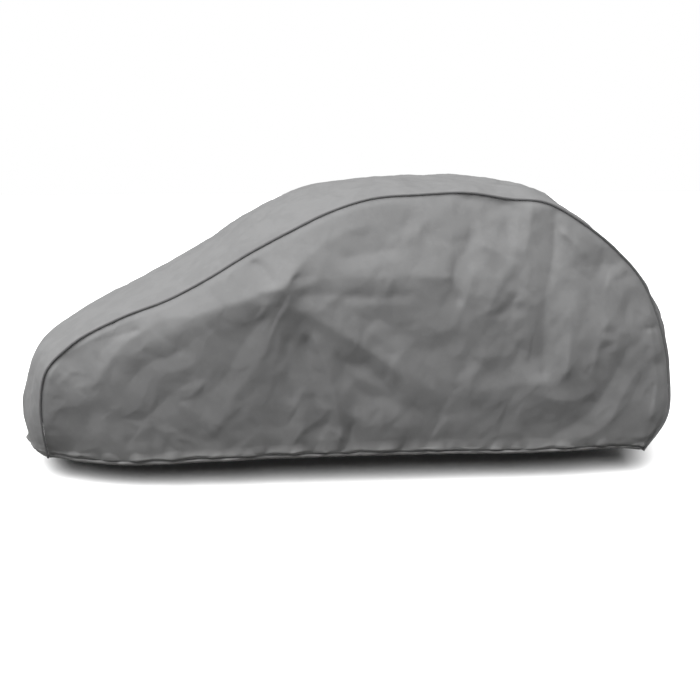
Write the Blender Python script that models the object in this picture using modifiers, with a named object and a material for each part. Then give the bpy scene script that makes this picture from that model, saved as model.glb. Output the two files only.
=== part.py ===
"""A fitted car cover, drawn taut and hollow, as it hangs in use.

Three cloth panels are sewn together: a long top panel that runs from the front
hem up the nose, over the top and down the tail, and one panel on each side. A
dark round piping is sewn along each of the two seams, and every lower edge is
folded into a hem band. +X runs to the tail, -Y to the left side and +Z up. The
origin is the point under the top panel where the cover is held up, and heights
in the tables are above the ground below it.
"""

import bmesh
import bpy
import numpy as np

# Driving dimensions, in metres.
HELD_AT_X = 0.400
HELD_AT_HEIGHT = 1.575
CLOTH_THICKNESS = 0.002
HEM_THICKNESS = 0.003
HEM_DEPTH = 0.024
HEM_STEP = 0.003
PIPING_RADIUS = 0.0045
SEWN_GAP = 0.0004
BODY_HALF_WIDTH = 0.815
HEM_TUCK = 0.045
HEM_TUCK_FROM = 0.50
END_TAPER = 0.035
BODY_HALF_LENGTH = 1.600
PEAK_X = -0.335
PEAK_HEIGHT = 1.080
PEAK_STAND = 0.095
PEAK_REACH = 0.130
FOLD_EASE = 0.070
CROWN_POWER = 2.4

# How finely the panels are divided, how much closer the top panel's rows lie near
# its seams than evenly, and how a fold's line is sampled and faded at its ends.
ALONG = 64
DOWN = 16
ACROSS = 8
EDGE_CROWDING = 0.35
PIPING_SIDES = 1
FOLD_SAMPLES = 33
FOLD_END_FADE = 0.08

# One row for each place along the seam, from the front hem to the rear hem:
# its x, half width and height, how far the middle of the top panel stands out
# beyond the two seams there, and how far below the seam the side turns upright.
SEAM = (
    # place          x       half    height  crown   turn
    ("front hem",    -1.572, 0.500,  0.158,  0.160,  0.340),
    ("nose low",     -1.580, 0.560,  0.310,  0.195,  0.340),
    ("nose",         -1.580, 0.580,  0.475,  0.170,  0.330),
    ("nose high",    -1.535, 0.600,  0.635,  0.125,  0.300),
    ("lip",          -1.405, 0.620,  0.765,  0.080,  0.240),
    ("slope low",    -1.150, 0.650,  0.905,  0.077,  0.190),
    ("slope",        -0.900, 0.670,  0.998,  0.117,  0.180),
    ("slope high",   -0.700, 0.680,  1.103,  0.115,  0.200),
    ("rise low",     -0.500, 0.670,  1.222,  0.140,  0.260),
    ("rise",         -0.295, 0.640,  1.326,  0.145,  0.340),
    ("rise high",    -0.095, 0.610,  1.418,  0.112,  0.420),
    ("top front",    0.110,  0.590,  1.480,  0.083,  0.460),
    ("top",          0.370,  0.570,  1.500,  0.075,  0.480),
    ("top rear",     0.630,  0.565,  1.507,  0.085,  0.480),
    ("top end",      0.840,  0.570,  1.476,  0.090,  0.470),
    ("tail brow",    1.023,  0.575,  1.458,  0.075,  0.440),
    ("tail high",    1.212,  0.580,  1.350,  0.065,  0.400),
    ("tail",         1.387,  0.590,  1.215,  0.070,  0.360),
    ("tail middle",  1.535,  0.600,  1.056,  0.105,  0.330),
    ("tail low",     1.645,  0.610,  0.837,  0.155,  0.320),
    ("rear swell",   1.717,  0.610,  0.564,  0.160,  0.320),
    ("rear low",     1.730,  0.600,  0.340,  0.150,  0.320),
    ("rear hem",     1.660,  0.560,  0.150,  0.090,  0.320),
)
FRONT_CORNER = "lip"
REAR_CORNER = "tail middle"

# The line of the lower edge of each side, from front to rear.
HEM = (
    # x       height
    (-1.572,  0.158),
    (-1.320,  0.172),
    (-1.040,  0.176),
    (-0.820,  0.190),
    (-0.110,  0.200),
    (0.400,   0.196),
    (0.850,   0.186),
    (1.150,   0.190),
    (1.490,   0.178),
    (1.660,   0.150),
)

# The main folds of the left side. Each runs through three points, is so wide to
# either side of its line, and stands out of the cloth or, below zero, sinks in.
LEFT_FOLDS = (
    # name                start           middle          end             width   stand
    ("shoulder",         (-0.405, 1.045), (-0.770, 0.910), (-1.155, 0.570), 0.060,  0.024),
    ("nose turn",        (-1.165, 0.550), (-1.280, 0.505), (-1.415, 0.655), 0.060,  0.014),
    ("peak rise",        (-0.360, 1.110), (-0.440, 1.180), (-0.520, 1.205), 0.045,  0.016),
    ("peak fall",        (-0.310, 1.110), (-0.260, 1.190), (-0.180, 1.275), 0.050,  0.020),
    ("belt",             (-0.280, 1.110), (-0.040, 1.135), (0.430, 1.125),  0.055,  0.018),
    ("belt trough",      (-0.270, 1.045), (-0.040, 1.030), (0.380, 1.020),  0.050, -0.016),
    ("shelf",            (-0.260, 1.000), (-0.045, 0.975), (0.230, 0.740),  0.055,  0.024),
    ("shelf trough",     (-0.190, 0.850), (0.020, 0.790),  (0.275, 0.415),  0.060, -0.020),
    ("long drop",        (-0.280, 0.960), (-0.185, 0.690), (-0.100, 0.240), 0.050,  0.024),
    ("left trough",      (-0.345, 1.000), (-0.335, 0.820), (-0.300, 0.420), 0.050, -0.018),
    ("forward drop",     (-0.390, 0.960), (-0.475, 0.745), (-0.640, 0.470), 0.065,  0.022),
    ("pocket",           (0.115, 0.560),  (0.190, 0.430),  (0.270, 0.260),  0.055,  0.016),
    ("upper drop",       (0.820, 1.440),  (0.760, 1.290),  (0.560, 0.980),  0.080,  0.022),
    ("brow trough",      (0.970, 1.430),  (0.960, 1.270),  (0.990, 1.050),  0.055, -0.024),
    ("rear ridge",       (1.070, 1.160),  (1.060, 0.870),  (1.035, 0.560),  0.060,  0.024),
    ("knee",             (0.825, 0.965),  (0.865, 0.860),  (0.850, 0.720),  0.050,  0.012),
    ("tail sweep",       (0.980, 0.215),  (1.270, 0.350),  (1.430, 0.700),  0.060,  0.024),
    ("tail trough",      (1.100, 0.245),  (1.370, 0.300),  (1.540, 0.560),  0.050, -0.016),
    ("tail dent",        (1.300, 1.010),  (1.370, 0.780),  (1.300, 0.560),  0.070, -0.016),
)

# The same for the right side, where the cloth falls a little differently.
RIGHT_FOLDS = (
    # name                start           middle          end             width   stand
    ("shoulder",         (-0.405, 1.045), (-0.760, 0.890), (-1.240, 0.590), 0.065,  0.022),
    ("peak rise",        (-0.360, 1.110), (-0.420, 1.180), (-0.500, 1.210), 0.045,  0.014),
    ("peak fall",        (-0.310, 1.110), (-0.240, 1.200), (-0.120, 1.290), 0.050,  0.018),
    ("belt",             (-0.280, 1.090), (0.060, 1.110),  (0.560, 1.080),  0.060,  0.018),
    ("belt trough",      (-0.270, 1.030), (0.020, 1.000),  (0.480, 0.960),  0.055, -0.016),
    ("shelf",            (-0.260, 0.980), (0.060, 0.860),  (0.330, 0.560),  0.060,  0.022),
    ("long drop",        (-0.300, 0.960), (-0.230, 0.660), (-0.240, 0.240), 0.055,  0.022),
    ("long trough",      (-0.220, 0.900), (-0.090, 0.660), (0.020, 0.300),  0.060, -0.018),
    ("forward drop",     (-0.390, 0.960), (-0.560, 0.720), (-0.800, 0.430), 0.065,  0.020),
    ("upper drop",       (0.860, 1.440),  (0.740, 1.250),  (0.680, 0.930),  0.080,  0.020),
    ("brow trough",      (1.000, 1.420),  (0.980, 1.240),  (0.900, 1.020),  0.055, -0.022),
    ("rear ridge",       (1.110, 1.180),  (1.120, 0.880),  (1.060, 0.540),  0.060,  0.022),
    ("tail sweep",       (0.900, 0.215),  (1.230, 0.330),  (1.450, 0.620),  0.060,  0.022),
    ("tail trough",      (1.080, 0.240),  (1.350, 0.300),  (1.540, 0.520),  0.050, -0.016),
)


def smooth_through(knots, rows, at):
    """Values of a smooth curve through the rows, at places along the knots."""
    slopes = np.gradient(rows, knots, axis=0)
    index = np.clip(np.searchsorted(knots, at, side="right") - 1, 0, len(knots) - 2)
    span = (knots[index + 1] - knots[index])[:, None]
    t = (at - knots[index])[:, None] / span
    start = rows[index] * (1 + 2 * t) * (1 - t) ** 2
    end = rows[index + 1] * (3 - 2 * t) * t**2
    lean = (slopes[index] * (1 - t) ** 2 * t - slopes[index + 1] * (1 - t) * t**2) * span
    return start + end + lean


def rows_up(length):
    """Distances of the grid rows from the hem up, with the hem band's own rows."""
    upper = np.linspace(HEM_DEPTH + HEM_STEP, length, DOWN - 1)
    return np.concatenate([[0.0, HEM_DEPTH], upper])


def seam_rows():
    """The seam as rows of x, half width, height, crown and turn, by grid line."""
    names = [row[0] for row in SEAM]
    rows = np.array([row[1:] for row in SEAM])
    steps = np.hypot(np.diff(rows[:, 0]), np.diff(rows[:, 2]))
    knots = np.concatenate([[0.0], np.cumsum(steps)])
    front = knots[names.index(FRONT_CORNER)]
    rear = knots[names.index(REAR_CORNER)]
    places = np.concatenate([
        rows_up(front)[:-1],
        np.linspace(front, rear, ALONG + 1)[:-1],
        knots[-1] - rows_up(knots[-1] - rear)[::-1],
    ])
    return smooth_through(knots, rows, places)


def hem_line(count):
    """Points (x, height) along the lower edge of a side."""
    rows = np.array(HEM)
    at = np.linspace(rows[0, 0], rows[-1, 0], count)
    return smooth_through(rows[:, 0], rows, at)


def side_plan(seam):
    """(x, height) of each grid point of a side, spanned between its four edges."""
    flat = seam[:, [0, 2]]
    front = flat[: DOWN + 1]
    top = flat[DOWN : DOWN + ALONG + 1]
    rear = flat[DOWN + ALONG :][::-1]
    hem = hem_line(ALONG + 1)
    u = np.linspace(0.0, 1.0, ALONG + 1)[:, None, None]
    v = rows_up(1.0)[None, :, None]
    between_ends = (1 - u) * front[None] + u * rear[None]
    between_rims = (1 - v) * hem[:, None] + v * top[:, None]
    corners = (1 - u) * ((1 - v) * front[0] + v * front[-1])
    corners = corners + u * ((1 - v) * rear[0] + v * rear[-1])
    plan = between_ends + between_rims - corners
    upright = plan[:, 3] - plan[:, 0]
    upright /= np.linalg.norm(upright, axis=1)[:, None]
    plan[1:-1, 1] = plan[1:-1, 0] + upright[1:-1] * HEM_DEPTH
    plan[1:-1, 2] = plan[1:-1, 0] + upright[1:-1] * (HEM_DEPTH + HEM_STEP)
    return plan


def nearest_on_seam(points, seam):
    """For each point: its distance inside the seam, and the seam's row there."""
    flat = seam[:, [0, 2]]
    begin = flat[:-1]
    step = flat[1:] - begin
    offset = points[:, None] - begin[None]
    share = np.clip((offset * step).sum(2) / (step**2).sum(1), 0.0, 1.0)
    gap = np.linalg.norm(offset - share[..., None] * step, axis=2)
    best = gap.argmin(axis=1)
    t = share[np.arange(len(points)), best][:, None]
    rows = seam[best] * (1 - t) + seam[best + 1] * t
    return gap.min(axis=1), rows


def fold_stand(points, folds):
    """How far the folds lift the cloth at each point."""
    stand = np.zeros(len(points))
    for _, start, middle, end, width, height in folds:
        t = np.linspace(0.0, 1.0, FOLD_SAMPLES)[:, None]
        pull = 2 * np.array(middle) - (np.array(start) + np.array(end)) / 2
        path = (1 - t) ** 2 * start + 2 * t * (1 - t) * pull + t**2 * end
        gaps = np.linalg.norm(points[:, None] - path[None], axis=2)
        share = t[gaps.argmin(axis=1), 0]
        fade = np.sin(np.pi * (FOLD_END_FADE + (1 - 2 * FOLD_END_FADE) * share))
        stand += height * fade * np.exp(-((gaps.min(axis=1) / width) ** 2))
    return stand


def half_width(points, seam, folds):
    """How far a side stands from the middle plane at each (x, height)."""
    x, height = points.T
    depth, rows = nearest_on_seam(points, seam)
    tuck = np.clip((HEM_TUCK_FROM - height) / HEM_TUCK_FROM, 0.0, 1.0) ** 2
    body = BODY_HALF_WIDTH - HEM_TUCK * tuck - END_TAPER * (x / BODY_HALF_LENGTH) ** 4
    turn = np.clip(1 - depth / rows[:, 4], 0.0, 1.0) ** 2
    smooth = body - (body - rows[:, 1]) * turn
    from_peak = np.hypot(x - PEAK_X, height - PEAK_HEIGHT) / PEAK_REACH
    peak = PEAK_STAND / (1 + from_peak**2)
    ease = np.clip(depth / FOLD_EASE, 0.0, 1.0)
    ease = ease * ease * (3 - 2 * ease)
    return smooth + ease * (peak + fold_stand(points, folds))


def side_points(seam, side, folds):
    """Grid of points of one side panel; side is -1 on the left and 1 on the right."""
    plan = side_plan(seam)
    flat = plan.reshape(-1, 2)
    width = half_width(flat, seam, folds)
    points = np.stack([flat[:, 0], side * width, flat[:, 1]], axis=1)
    return points.reshape(ALONG + 1, DOWN + 1, 3)


def outward(seam):
    """Unit vectors (x, height) square to the seam and pointing out of the cover."""
    flat = seam[:, [0, 2]]
    along = np.gradient(flat, axis=0)
    along /= np.linalg.norm(along, axis=1)[:, None]
    return np.stack([-along[:, 1], along[:, 0]], axis=1)


def top_points(seam):
    """Grid of points of the top panel, from the left seam to the right one."""
    t = np.linspace(-1.0, 1.0, ACROSS + 1)
    t = EDGE_CROWDING * np.sin(t * np.pi / 2) + (1 - EDGE_CROWDING) * t
    rise = 1 - np.abs(t) ** CROWN_POWER
    stand = seam[:, 3, None, None] * rise[None, :, None] * outward(seam)[:, None]
    flat = seam[:, None, [0, 2]] + stand
    y = seam[:, 1, None] * t[None]
    return np.stack([flat[..., 0], y, flat[..., 1]], axis=2)


def seam_points(seam, side):
    return np.stack([seam[:, 0], side * seam[:, 1], seam[:, 2]], axis=1)


def drawn_in(edge, inner, along):
    """Edge points moved square to the seam, to leave room for the piping."""
    inward = inner - edge
    inward -= (inward * along).sum(1)[:, None] * along
    inward /= np.linalg.norm(inward, axis=1)[:, None]
    return edge + inward * (PIPING_RADIUS + SEWN_GAP)


def seam_direction(points):
    along = np.gradient(points, axis=0)
    return along / np.linalg.norm(along, axis=1)[:, None]


def clear_side(points, seam_line):
    """The side grid with its three sewn edges drawn in from the seam."""
    along = seam_direction(seam_line)
    inner_front = points[1, : DOWN + 1]
    inner_top = points[:, -2]
    inner_rear = points[-2, ::-1]
    inner = np.concatenate([inner_front[:-1], inner_top, inner_rear[1:]])
    inner[DOWN] = points[1, -2]
    inner[DOWN + ALONG] = points[-2, -2]
    edge = drawn_in(seam_line, inner, along)
    points[0, :] = edge[: DOWN + 1]
    points[:, -1] = edge[DOWN : DOWN + ALONG + 1]
    points[-1, ::-1] = edge[DOWN + ALONG :]
    return points


def clear_top(points, seam_lines):
    """The top grid with both long edges drawn in from the seams."""
    left, right = seam_lines
    points[:, 0] = drawn_in(left, points[:, 1].copy(), seam_direction(left))
    points[:, -1] = drawn_in(right, points[:, -2].copy(), seam_direction(right))
    return points


def to_own_frame(points):
    return points - np.array([HELD_AT_X, 0.0, HELD_AT_HEIGHT])


def make_material(name, colour, roughness):
    material = bpy.data.materials.new(name)
    material.use_nodes = True
    shader = material.node_tree.nodes["Principled BSDF"]
    shader.inputs["Base Color"].default_value = (*colour, 1.0)
    shader.inputs["Roughness"].default_value = roughness
    shader.inputs["Metallic"].default_value = 0.0
    return material


def make_panel(name, points, hem_weight, material, collection, flip):
    """A cloth panel from a grid of points, thickened inwards, thicker in its hem."""
    lines, rows = points.shape[:2]
    mesh = bpy.data.meshes.new(name)
    work = bmesh.new()
    bmesh.ops.create_grid(work, x_segments=lines - 1, y_segments=rows - 1, size=1.0)
    work.verts.ensure_lookup_table()
    for vertex in work.verts:
        line = round((vertex.co.x + 1) / 2 * (lines - 1))
        row = round((vertex.co.y + 1) / 2 * (rows - 1))
        vertex.co = points[line, row]
        vertex.index = line * rows + row
    if flip:
        bmesh.ops.reverse_faces(work, faces=work.faces[:])
    work.verts.sort()
    work.to_mesh(mesh)
    work.free()
    mesh.shade_smooth()
    mesh.materials.append(material)
    panel = bpy.data.objects.new(name, mesh)
    collection.objects.link(panel)
    group = panel.vertex_groups.new(name="hem")
    for index, weight in enumerate(hem_weight.reshape(-1)):
        group.add([index], float(weight), "REPLACE")
    thicken = panel.modifiers.new("thickness", "SOLIDIFY")
    thicken.thickness = HEM_THICKNESS
    thicken.offset = -1.0
    thicken.vertex_group = "hem"
    thicken.thickness_vertex_group = CLOTH_THICKNESS / HEM_THICKNESS
    return panel


def make_piping(name, line, material, collection):
    """A round cord along a seam, with closed ends."""
    curve = bpy.data.curves.new(name, "CURVE")
    curve.dimensions = "3D"
    curve.bevel_depth = PIPING_RADIUS
    curve.bevel_resolution = PIPING_SIDES
    curve.use_fill_caps = True
    spline = curve.splines.new("POLY")
    spline.points.add(len(line) - 1)
    for point, place in zip(spline.points, line):
        point.co = (*place, 1.0)
    spline.use_smooth = True
    curve.materials.append(material)
    piping = bpy.data.objects.new(name, curve)
    collection.objects.link(piping)
    return piping


def main():
    for old in list(bpy.data.objects):
        bpy.data.objects.remove(old, do_unlink=True)
    collection = bpy.data.collections.new("car_cover")
    bpy.context.scene.collection.children.link(collection)
    cloth = make_material("grey_cloth", (0.30, 0.31, 0.32), 0.85)
    top_cloth = make_material("pale_grey_cloth", (0.36, 0.37, 0.38), 0.85)
    dark_cord = make_material("dark_cord", (0.06, 0.06, 0.065), 0.8)

    seam = seam_rows()
    left_line = seam_points(seam, -1)
    right_line = seam_points(seam, 1)
    top = clear_top(top_points(seam), (left_line, right_line))
    hem = np.zeros(top.shape[:2])
    hem[[0, 1, -2, -1]] = 1.0
    make_panel("top_panel", to_own_frame(top), hem, top_cloth, collection, False)
    sides = (("left", -1, left_line, LEFT_FOLDS), ("right", 1, right_line, RIGHT_FOLDS))
    for name, side, line, folds in sides:
        points = clear_side(side_points(seam, side, folds), line)
        hem = np.zeros(points.shape[:2])
        hem[:, :2] = 1.0
        flip = side > 0
        make_panel("side_panel_" + name, to_own_frame(points), hem, cloth, collection, flip)
        make_piping("piping_" + name, to_own_frame(line), dark_cord, collection)


main()
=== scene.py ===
import math

import bpy
import numpy as np
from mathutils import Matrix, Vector, noise
from mathutils.bvhtree import BVHTree


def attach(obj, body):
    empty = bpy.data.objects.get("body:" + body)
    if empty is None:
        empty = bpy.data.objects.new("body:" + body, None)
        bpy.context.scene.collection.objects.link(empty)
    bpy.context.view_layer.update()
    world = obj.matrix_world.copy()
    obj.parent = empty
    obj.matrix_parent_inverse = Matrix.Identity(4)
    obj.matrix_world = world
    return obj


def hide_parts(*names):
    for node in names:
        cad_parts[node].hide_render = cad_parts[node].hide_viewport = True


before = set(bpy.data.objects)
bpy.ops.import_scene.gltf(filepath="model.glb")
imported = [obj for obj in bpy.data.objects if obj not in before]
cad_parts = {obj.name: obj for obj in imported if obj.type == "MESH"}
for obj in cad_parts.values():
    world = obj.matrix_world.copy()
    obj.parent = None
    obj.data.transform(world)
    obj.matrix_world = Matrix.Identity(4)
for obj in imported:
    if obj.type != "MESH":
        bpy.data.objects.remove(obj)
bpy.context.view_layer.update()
print("frame loaded")

# All sizes are metres, and heights are above the ground below the cover. The frame's
# origin is the point under the top panel at heldAt (x, height).
cover = {
    "heldAt": (0.400, 1.575),
    "clothThickness": 0.0016,
    "bodyHalfWidth": 0.825,
    "hemTuck": 0.025,
    "middleTuck": 0.060,
    "middleAt": -0.250,
    "middleReach": 1.000,
    "hemTuckFrom": 0.72,
    "upperLean": 0.018,
    "upperLeanFrom": 0.55,
    "upperLeanTo": 1.25,
    "endTaper": 0.035,
    "noseTaper": 0.105,
    "noseFrom": -0.450,
    "noseTo": -1.550,
    "rearTaper": 0.015,
    "rearFrom": 0.900,
    "rearTo": 1.550,
    "bodyHalfLength": 1.600,
    "turnSoftness": 0.24,
    "evenedPasses": 45,
    "evenedFrom": 0.04,
    "evenedOver": 0.10,
    "peakX": -0.335,
    "peakHeight": 1.080,
    "peakStand": 0.070,
    "peakReach": 0.115,
    "foldEase": 0.035,
}

# The seam from front hem to rear hem: x, half width, height, how far the middle of
# the top panel stands out beyond the seams, how far below the seam the side turns.
seamTable = [
    (-1.560, 0.550, 0.158, 0.172, 0.330),
    (-1.566, 0.615, 0.310, 0.192, 0.330),
    (-1.566, 0.635, 0.475, 0.165, 0.320),
    (-1.528, 0.645, 0.636, 0.128, 0.300),
    (-1.405, 0.650, 0.763, 0.085, 0.270),
    (-1.150, 0.665, 0.903, 0.079, 0.175),
    (-0.900, 0.670, 0.998, 0.112, 0.135),
    (-0.700, 0.680, 1.103, 0.116, 0.150),
    (-0.500, 0.670, 1.222, 0.128, 0.220),
    (-0.295, 0.640, 1.326, 0.139, 0.270),
    (-0.095, 0.610, 1.418, 0.120, 0.330),
    (0.110, 0.590, 1.480, 0.083, 0.370),
    (0.370, 0.570, 1.500, 0.074, 0.400),
    (0.630, 0.565, 1.507, 0.074, 0.420),
    (0.840, 0.570, 1.476, 0.090, 0.420),
    (1.023, 0.575, 1.458, 0.075, 0.480),
    (1.212, 0.600, 1.358, 0.047, 0.420),
    (1.387, 0.620, 1.222, 0.047, 0.400),
    (1.535, 0.640, 1.060, 0.085, 0.380),
    (1.634, 0.665, 0.840, 0.135, 0.310),
    (1.690, 0.700, 0.564, 0.150, 0.310),
    (1.682, 0.725, 0.340, 0.145, 0.310),
    (1.564, 0.725, 0.154, 0.090, 0.310),
]
frontCorner, rearCorner = 4, 18  # rows where the side panel's edge turns from its ends to its top

hemTable = [  # x and height along the lower edge of a side
    (-1.560, 0.158), (-1.320, 0.151), (-1.040, 0.155), (-0.820, 0.169), (-0.110, 0.189),
    (0.400, 0.189), (0.850, 0.181), (1.150, 0.184), (1.470, 0.176), (1.564, 0.158),
]


def smoothThrough(knots, rows, at):
    slopes = np.gradient(rows, knots, axis=0)
    index = np.clip(np.searchsorted(knots, at, side="right") - 1, 0, len(knots) - 2)
    span = (knots[index + 1] - knots[index])[:, None]
    t = (at - knots[index])[:, None] / span
    value = rows[index] * (1 + 2 * t) * (1 - t) ** 2 + rows[index + 1] * (3 - 2 * t) * t**2
    return value + (slopes[index] * (1 - t) ** 2 * t - slopes[index + 1] * (1 - t) * t**2) * span


def smoothStep(value):
    value = np.clip(value, 0.0, 1.0)
    return value * value * (3 - 2 * value)


def unit(vectors):
    return vectors / np.linalg.norm(vectors, axis=-1, keepdims=True)


layers = {  # of the noise, one for each kind of unevenness; the side, -1 or 1, is added to it
    "pull": 3.0,
    "swell": 5.0,
    "warp": 9.0,
    "topSwell": 15.0,
    "busy": 19.0,
    "pucker": 31.0,
    "puckerGroups": 47.0,
    "hemFine": 61.0,
    "hemBroad": 71.0,
    "hemPatches": 91.0,
}


def uneven(along, up, layer):
    along, up = np.broadcast_arrays(along, up)
    return np.array([noise.noise(Vector((a, b, layer))) for a, b in zip(along.tolist(), up.tolist())])


def aroundEach(padded):  # the sum of the four values around each one
    return padded[:-2, 1:-1] + padded[2:, 1:-1] + padded[1:-1, :-2] + padded[1:-1, 2:]


def softened(field, passes):
    for _ in range(passes):
        field = (aroundEach(np.pad(field, 1, mode="edge")) + 4 * field) / 8
    return field


grid = {
    "along": 400,
    "down": 108,
    "across": 72,
    "edgeCrowding": 0.35,
    "hemRows": (0.0, 0.004, 0.008, 0.012, 0.016, 0.020, 0.024, 0.029, 0.034, 0.039, 0.045),
    "uprightRow": 15,
}


def rowsUp(length, count):
    hemRows = np.array(grid["hemRows"])
    upper = np.linspace(hemRows[-1], length, count + 2 - len(hemRows))[1:]
    return np.concatenate([hemRows, upper])


def seamRows():
    rows = np.array(seamTable)
    steps = np.hypot(np.diff(rows[:, 0]), np.diff(rows[:, 2]))
    knots = np.concatenate([[0.0], np.cumsum(steps)])
    front, rear, down = knots[frontCorner], knots[rearCorner], grid["down"]
    places = np.concatenate([
        rowsUp(front, down)[:-1],
        np.linspace(front, rear, grid["along"] + 1)[:-1],
        knots[-1] - rowsUp(knots[-1] - rear, down)[::-1],
    ])
    return smoothThrough(knots, rows, places), places


def sidePlan(seam):  # x and height of each grid point, spanned between the panel's four edges
    along, down = grid["along"], grid["down"]
    flat = seam[:, [0, 2]]
    front, top, rear = flat[:down + 1], flat[down:down + along + 1], flat[down + along:][::-1]
    hemRows = np.array(hemTable)
    hem = smoothThrough(hemRows[:, 0], hemRows, np.linspace(hemRows[0, 0], hemRows[-1, 0], along + 1))
    u = np.linspace(0.0, 1.0, along + 1)[:, None, None]
    v = rowsUp(1.0, down)[None, :, None]
    plan = (1 - u) * front[None] + u * rear[None] + (1 - v) * hem[:, None] + v * top[:, None]
    plan -= (1 - u) * ((1 - v) * front[0] + v * front[-1]) + u * ((1 - v) * rear[0] + v * rear[-1])
    upright = unit(plan[:, grid["uprightRow"]] - plan[:, 0])
    lift = np.zeros(plan.shape[:2])
    for row, height in enumerate(grid["hemRows"]):
        plan[1:-1, row] = plan[1:-1, 0] + upright[1:-1] * height
        lift[:, row] = height
    for row in range(len(grid["hemRows"]), down + 1):
        lift[:, row] = np.linalg.norm(plan[:, row] - plan[:, 0], axis=1)
    return plan, lift


def nearestOnPath(points, path):
    step = path[1:, :2] - path[:-1, :2]
    gap = np.full(len(points), np.inf)
    place = np.zeros(len(points))
    beside = np.zeros(len(points))
    for index in range(len(step)):
        offset = points - path[index, :2]
        share = np.clip(offset @ step[index] / (step[index] @ step[index]), 0.0, 1.0)
        away = offset - share[:, None] * step[index]
        length = np.hypot(away[:, 0], away[:, 1])
        closer = length < gap
        gap[closer] = length[closer]
        place[closer] = (index + share)[closer]
        beside[closer] = np.sign(step[index, 0] * away[:, 1] - step[index, 1] * away[:, 0])[closer]
    return gap, place, beside


def nearestOnSeam(points, seam, places):
    rows = np.column_stack([seam[:, 0], seam[:, 2], seam[:, 1], seam[:, 4], places])[::2]
    gap, place, _ = nearestOnPath(points, rows)
    index = np.minimum(place.astype(int), len(rows) - 2)
    t = (place - index)[:, None]
    found = rows[index] * (1 - t) + rows[index + 1] * t
    return gap, found[:, 2], found[:, 3], found[:, 4]


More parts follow.
